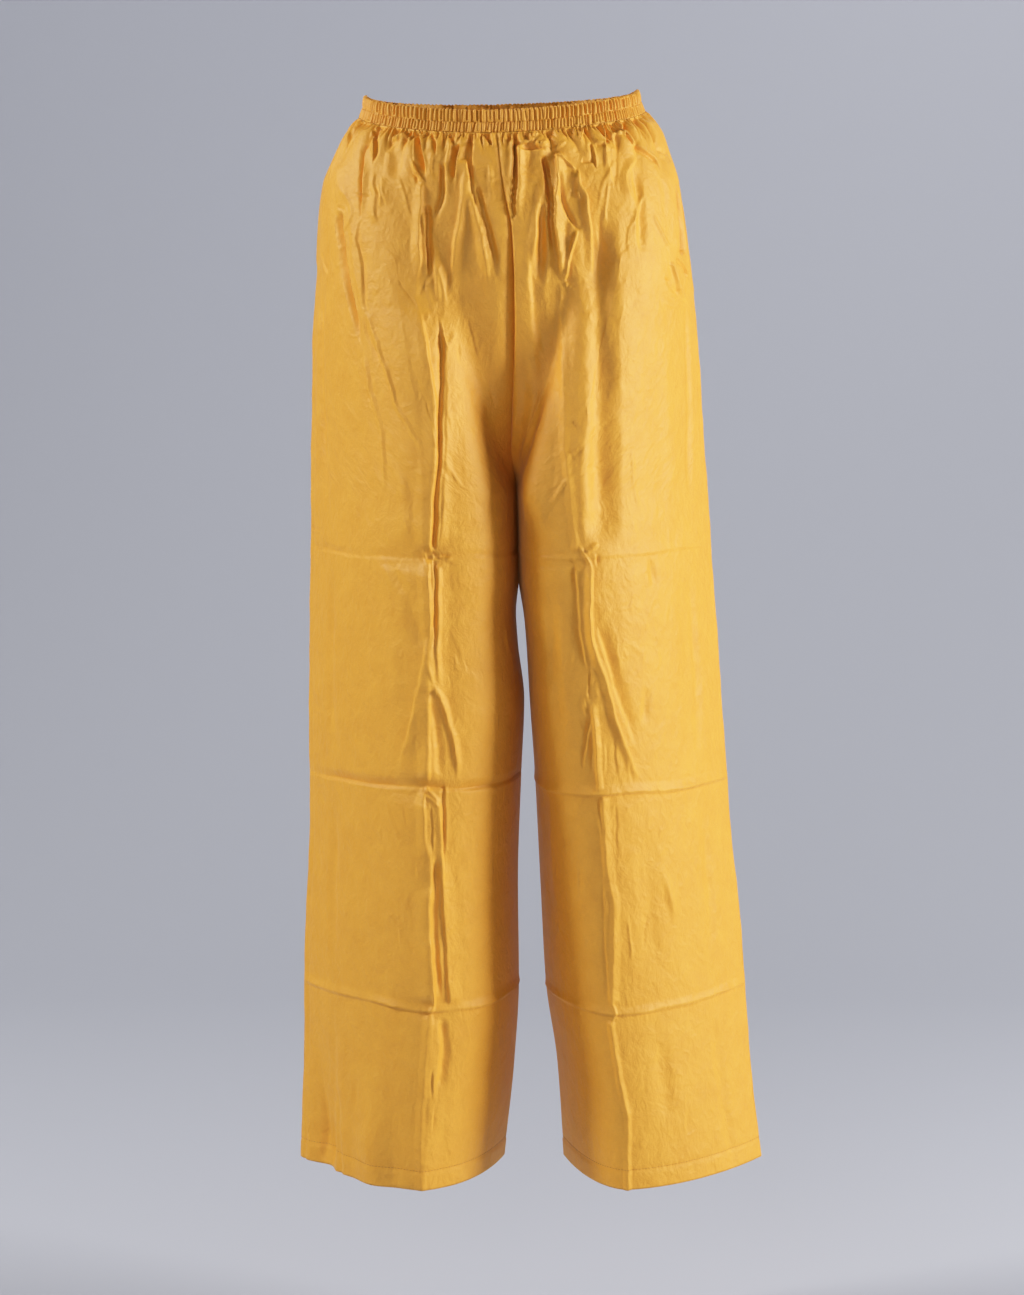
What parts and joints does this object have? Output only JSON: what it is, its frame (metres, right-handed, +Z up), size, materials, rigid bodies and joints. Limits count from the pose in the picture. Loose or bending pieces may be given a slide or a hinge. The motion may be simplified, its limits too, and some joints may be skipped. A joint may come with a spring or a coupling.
{
  "type": "palazzo pants",
  "caption": "Wide-leg pull-on trousers in thin woven rayon, in worn hollow form, with a ruched elastic waistband and in-seam side pockets.",
  "frame": {"origin": "the middle of the waist, in the opening of the waistband, where the wearer holds the garment up", "axes": "+Z up, -Y is the front, +X is to the right of someone who looks at the front"},
  "size_m": [0.427, 0.2427, 0.9673],
  "materials": {
    "rayon": "thin plain-woven rayon, soft sheen, mustard yellow",
    "waistband": "the same rayon ruched over elastic",
    "pocketing": "the same rayon, in shade inside the side seams",
    "thread": "mustard polyester sewing thread"
  },
  "bodies": {
    "root": {"waistband": "waistband", "front_left": "rayon", "front_right": "rayon", "back_left": "rayon", "back_right": "rayon", "pocket_bag_left": "pocketing", "pocket_bag_right": "pocketing"}
  },
  "joints": []
}
